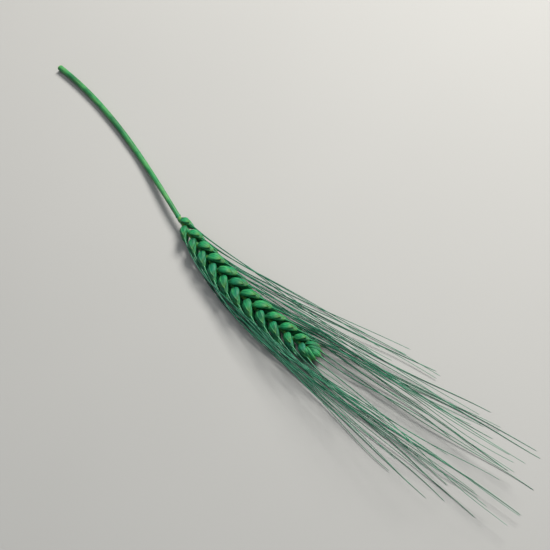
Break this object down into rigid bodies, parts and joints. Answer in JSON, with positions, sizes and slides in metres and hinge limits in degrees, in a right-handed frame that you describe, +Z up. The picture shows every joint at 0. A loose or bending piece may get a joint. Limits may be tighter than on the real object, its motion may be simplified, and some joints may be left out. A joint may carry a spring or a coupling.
{
  "type": "wheat ear",
  "caption": "Dried ear of bearded wheat on a short cut stem, lying down, with plaited rows of pointed husks and a long fan of straight awns.",
  "frame": {"origin": "on the surface the ear lies on, under the middle of its overall length and width", "axes": "+X from the cut end of the stem towards the beard, +Y to the left seen from above, +Z up"},
  "size_m": [0.2886, 0.0454, 0.0182],
  "materials": {
    "husk": "dry dyed husk, satin",
    "straw": "dry dyed straw, satin"
  },
  "bodies": {
    "root": {"ear": "husk", "stem": "straw"}
  },
  "joints": []
}
